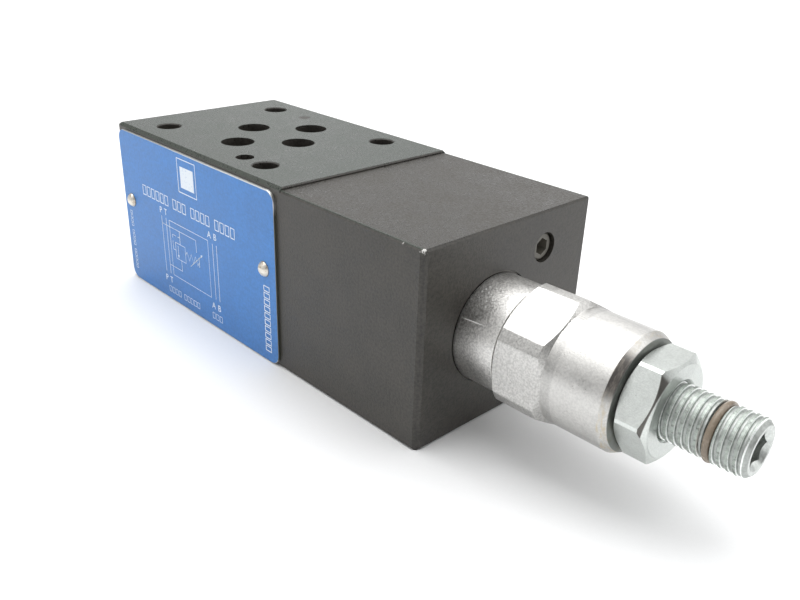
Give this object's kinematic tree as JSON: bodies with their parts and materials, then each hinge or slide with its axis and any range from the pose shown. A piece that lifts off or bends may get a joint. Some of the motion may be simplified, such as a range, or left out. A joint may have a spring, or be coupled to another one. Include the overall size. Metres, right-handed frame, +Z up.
{
  "type": "hydraulic sandwich valve",
  "caption": "Iron sandwich valve block with a standard port pattern, a blue nameplate and a screw-in relief cartridge with hexagon, lock nut and adjusting screw.",
  "frame": {"origin": "centre of the bolt pattern on the bottom mounting face", "axes": "+Z up through the ports, +X towards the adjusting screw, -Y towards the nameplate"},
  "size_m": [0.157, 0.0477, 0.04],
  "materials": {
    "phosphated_iron": "dark phosphate coat, matte, worn bright at one corner",
    "blue_plate": "satin blue print on a thin aluminium plate",
    "rivet_metal": "bright dome",
    "dark_steel": "black oxide",
    "black_rubber": "smooth",
    "hard_steel": "ground",
    "white_plastic": "matte",
    "spring_steel": "oiled",
    "zinc_steel": "bright zinc plate, lightly mottled",
    "zinc_screw": "zinc plated thread",
    "brown_rubber": "satin",
    "zinc_nut": "zinc plate"
  },
  "bodies": {
    "valve": {"valve_body": "phosphated_iron", "nameplate": "blue_plate", "nameplate_rivets": "rivet_metal", "passage_plug": "dark_steel", "port_o_rings": "black_rubber", "valve_cage": "hard_steel", "cage_o_ring": "black_rubber", "cage_backup_ring": "white_plastic", "valve_seat": "hard_steel", "relief_spring": "spring_steel", "adjuster_bonnet": "zinc_steel", "bonnet_o_ring": "black_rubber", "bonnet_backup_ring": "white_plastic"},
    "poppet": {"poppet": "hard_steel", "front_spring_plate": "hard_steel"},
    "adjuster_piston": {"adjuster_piston": "hard_steel", "piston_o_ring": "black_rubber"},
    "adjusting_screw": {"adjusting_screw": "zinc_screw", "screw_o_ring": "brown_rubber"},
    "lock_nut": {"lock_nut": "zinc_nut"}
  },
  "joints": [
    {"name": "poppet_lift", "type": "slide", "parent": "valve", "child": "poppet", "axis": [1, 0, 0], "range_m": [0, 0.0015], "stiffness_N_per_m": 15000, "springref_m": -0.002, "deforming": ["relief_spring"]},
    {"name": "screw_advance", "type": "slide", "parent": "valve", "child": "adjuster_piston", "axis": [1, 0, 0], "range_m": [-0.00563, 0.00126], "deforming": ["relief_spring"]},
    {"name": "screw_turn", "type": "hinge", "parent": "adjuster_piston", "child": "adjusting_screw", "pos_m": [0.1, -0.0039, 0.0195], "axis": [1, 0, 0], "range_deg": [-1620, 360]},
    {"name": "lock_nut_turn", "type": "hinge", "parent": "valve", "child": "lock_nut", "pos_m": [0.109, -0.0039, 0.0195], "axis": [1, 0, 0], "range_deg": [0, 90]}
  ],
  "couplings": [
    {"joint": "screw_advance", "follows": "screw_turn", "m_per_rad": 0.00019894}
  ]
}
